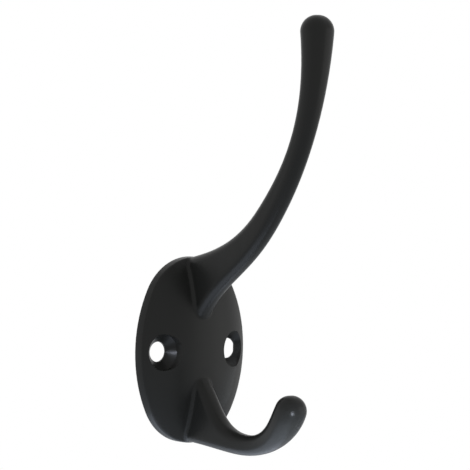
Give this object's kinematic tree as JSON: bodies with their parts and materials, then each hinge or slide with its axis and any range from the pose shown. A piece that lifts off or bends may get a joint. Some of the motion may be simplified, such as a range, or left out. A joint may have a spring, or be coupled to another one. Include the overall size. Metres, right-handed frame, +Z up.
{
  "type": "robe hook",
  "caption": "Cast robe hook: a domed oval wall plate with countersunk screw holes, a long upswept upper arm and a short curled lower arm with rounded tips, for hanging clothes.",
  "frame": {"origin": "middle of the oval plate, on the wall plane", "axes": "+Z up along the plate's long axis, +Y into the wall, -Y out into the room, X level along the wall"},
  "size_m": [0.0324, 0.0512, 0.1074],
  "materials": {
    "black_powder_coat": "satin black powder coat with a fine even texture"
  },
  "bodies": {
    "root": {"hook_casting": "black_powder_coat"}
  },
  "joints": []
}
